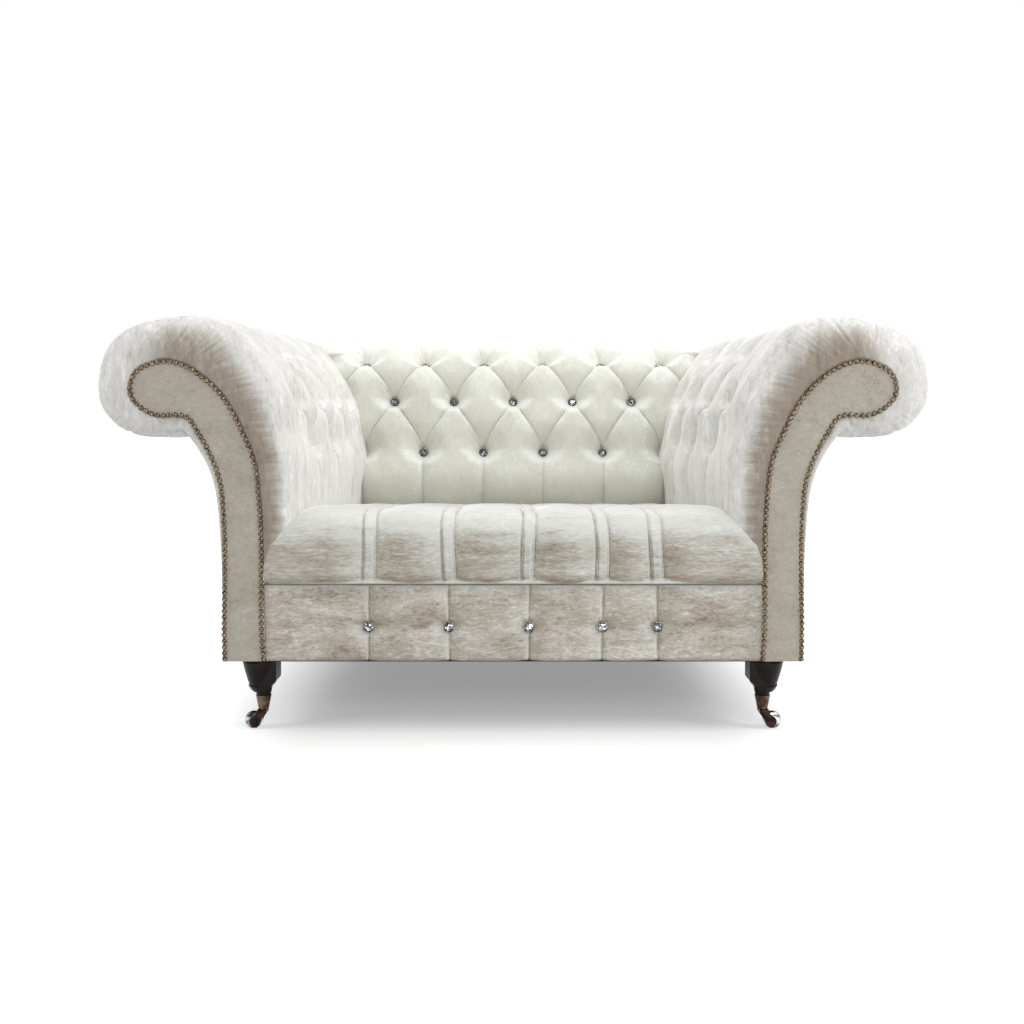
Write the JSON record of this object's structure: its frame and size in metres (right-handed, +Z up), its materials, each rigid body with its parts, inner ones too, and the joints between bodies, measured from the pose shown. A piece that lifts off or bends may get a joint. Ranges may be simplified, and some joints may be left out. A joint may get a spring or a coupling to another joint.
{
  "type": "chesterfield loveseat sofa",
  "caption": "Free-standing loveseat with scroll arms, deep-buttoned back, studded arm facings and turned front legs on swivelling castors.",
  "frame": {"origin": "on the floor, under the middle of the sofa's box", "axes": "+X to the right of someone facing the sofa's front, +Z up, the front faces -Y"},
  "size_m": [1.733, 0.9, 0.87],
  "materials": {
    "velvet": "matte",
    "facing_velvet": "matte",
    "webbing": "matte",
    "hessian": "matte",
    "dust_cloth": "matte",
    "frame_wood": "matte",
    "dark_mahogany": "gloss",
    "spring_steel": "satin",
    "antique_studs": "satin",
    "button_metal": "polished",
    "crystal": "polished",
    "castor_bronze": "gloss",
    "castor_chrome": "polished",
    "glide_plastic": "matte"
  },
  "bodies": {
    "sofa": {"front_rail": "frame_wood", "back_rail": "frame_wood", "side_rail_left": "frame_wood", "side_rail_right": "frame_wood", "seat_brace": "frame_wood", "corner_blocks": "frame_wood", "arm_tack_rail_left": "frame_wood", "arm_tack_rail_right": "frame_wood", "arm_top_rail_left": "frame_wood", "arm_top_rail_right": "frame_wood", "arm_front_board_left": "frame_wood", "arm_front_board_right": "frame_wood", "arm_rear_board_left": "frame_wood", "arm_rear_board_right": "frame_wood", "arm_former_left": "frame_wood", "arm_former_right": "frame_wood", "back_posts": "frame_wood", "back_top_rail": "frame_wood", "back_tack_rail": "frame_wood", "back_webbing": "webbing", "seat_springs": "spring_steel", "spring_clips": "spring_steel", "seat_platform": "hessian", "seat_pad": "velvet", "border_pad": "velvet", "back_pad": "velvet", "arm_pad_left": "velvet", "arm_pad_right": "velvet", "outside_arm_left": "velvet", "outside_arm_right": "velvet", "outside_back": "velvet", "arm_facing_left": "facing_velvet", "arm_facing_right": "facing_velvet", "rear_facing_left": "facing_velvet", "rear_facing_right": "facing_velvet", "facing_studs_left": "antique_studs", "facing_studs_right": "antique_studs", "dust_cover": "dust_cloth", "back_button_settings": "button_metal", "border_button_settings": "button_metal", "back_button_crystals": "crystal", "border_button_crystals": "crystal", "front_leg_left": "dark_mahogany", "front_leg_right": "dark_mahogany", "rear_leg_left": "dark_mahogany", "rear_leg_right": "dark_mahogany", "leg_bolts": "spring_steel", "rear_glides": "glide_plastic", "castor_cup_left": "castor_bronze", "castor_cup_right": "castor_bronze"},
    "castor_left": {"castor_fork_left": "castor_bronze", "castor_axle_left": "castor_bronze", "castor_pintle_left": "castor_bronze"},
    "castor_right": {"castor_fork_right": "castor_bronze", "castor_axle_right": "castor_bronze", "castor_pintle_right": "castor_bronze"},
    "wheel_left": {"castor_wheel_left": "castor_chrome"},
    "wheel_right": {"castor_wheel_right": "castor_chrome"}
  },
  "joints": [
    {"name": "castor_swivel_left", "type": "hinge", "parent": "sofa", "child": "castor_left", "pos_m": [-0.529, -0.405, 0.041], "axis": [0, 0, 1], "continuous": true},
    {"name": "castor_swivel_right", "type": "hinge", "parent": "sofa", "child": "castor_right", "pos_m": [0.529, -0.405, 0.041], "axis": [0, 0, 1], "continuous": true},
    {"name": "wheel_spin_left", "type": "hinge", "parent": "castor_left", "child": "wheel_left", "pos_m": [-0.55, -0.405, 0.0185], "axis": [0, 1, 0], "continuous": true},
    {"name": "wheel_spin_right", "type": "hinge", "parent": "castor_right", "child": "wheel_right", "pos_m": [0.55, -0.405, 0.0185], "axis": [0, 1, 0], "continuous": true}
  ]
}
